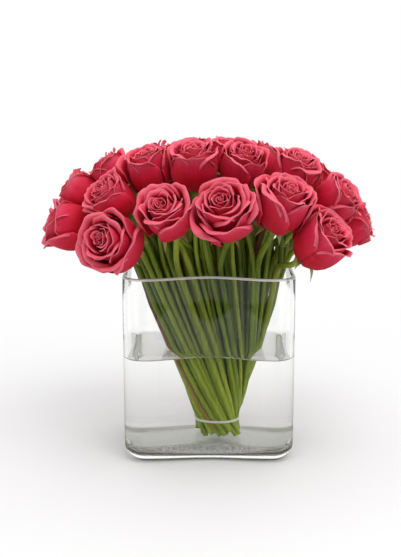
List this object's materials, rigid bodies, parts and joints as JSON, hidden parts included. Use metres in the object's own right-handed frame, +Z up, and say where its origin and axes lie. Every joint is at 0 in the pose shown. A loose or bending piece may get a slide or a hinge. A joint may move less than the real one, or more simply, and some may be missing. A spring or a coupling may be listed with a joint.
{
  "type": "roses in a vase",
  "caption": "Dome of red roses with green stems crossed into a tied spiral bundle, standing in water in a pinched rectangular glass vase with a thick base.",
  "frame": {"origin": "centre of the vase's flat underside", "axes": "+X along the vase's width, +Y towards the back of the bouquet, +Z up"},
  "size_m": [0.3353, 0.2485, 0.3331],
  "materials": {
    "glass": "clear polished glass",
    "water": "clear water",
    "tie": "pale translucent cord",
    "stem": "fresh green stem, satin",
    "petal": "soft velvety petal"
  },
  "bodies": {
    "root": {"vase": "glass", "water": "water", "tie": "tie", "stems": "stem", "rose_01": "petal", "rose_02": "petal", "rose_03": "petal", "rose_04": "petal", "rose_05": "petal", "rose_06": "petal", "rose_07": "petal", "rose_08": "petal", "rose_09": "petal", "rose_10": "petal", "rose_11": "petal", "rose_12": "petal", "rose_13": "petal", "rose_14": "petal", "rose_15": "petal", "rose_16": "petal", "rose_17": "petal", "rose_18": "petal", "rose_19": "petal", "rose_20": "petal", "rose_21": "petal", "rose_22": "petal", "rose_23": "petal", "rose_24": "petal", "rose_25": "petal", "rose_26": "petal", "rose_27": "petal", "rose_28": "petal", "rose_29": "petal", "rose_30": "petal", "rose_31": "petal", "rose_32": "petal"}
  },
  "joints": []
}
